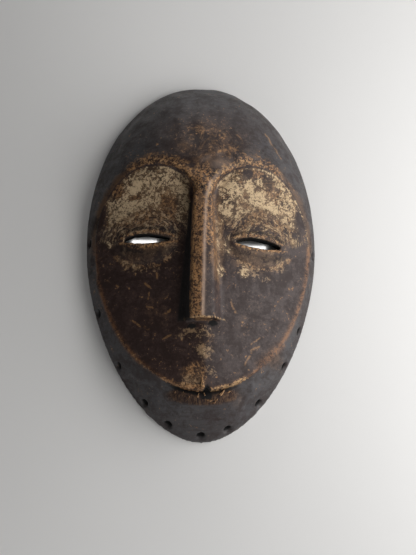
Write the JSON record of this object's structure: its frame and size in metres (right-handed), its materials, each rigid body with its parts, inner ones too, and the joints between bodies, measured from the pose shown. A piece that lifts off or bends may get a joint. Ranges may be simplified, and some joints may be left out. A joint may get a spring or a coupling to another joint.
{
  "type": "lega mask",
  "caption": "Oval hollow-backed wooden mask with a heart-shaped face, long narrow nose, slit eyes, small mouth and lashing holes round its rim.",
  "frame": {"origin": "under the middle of the mask, in the plane of the rim it lies on", "axes": "+Z out of the face, +Y up to the forehead, +X to the viewer's right"},
  "size_m": [0.176, 0.28, 0.055],
  "materials": {
    "patinated_wood": "dark handled patina with a soft sheen, worn to bare wood on the edges, with remains of pale kaolin in the eye sockets"
  },
  "bodies": {
    "root": {"mask": "patinated_wood"}
  },
  "joints": []
}
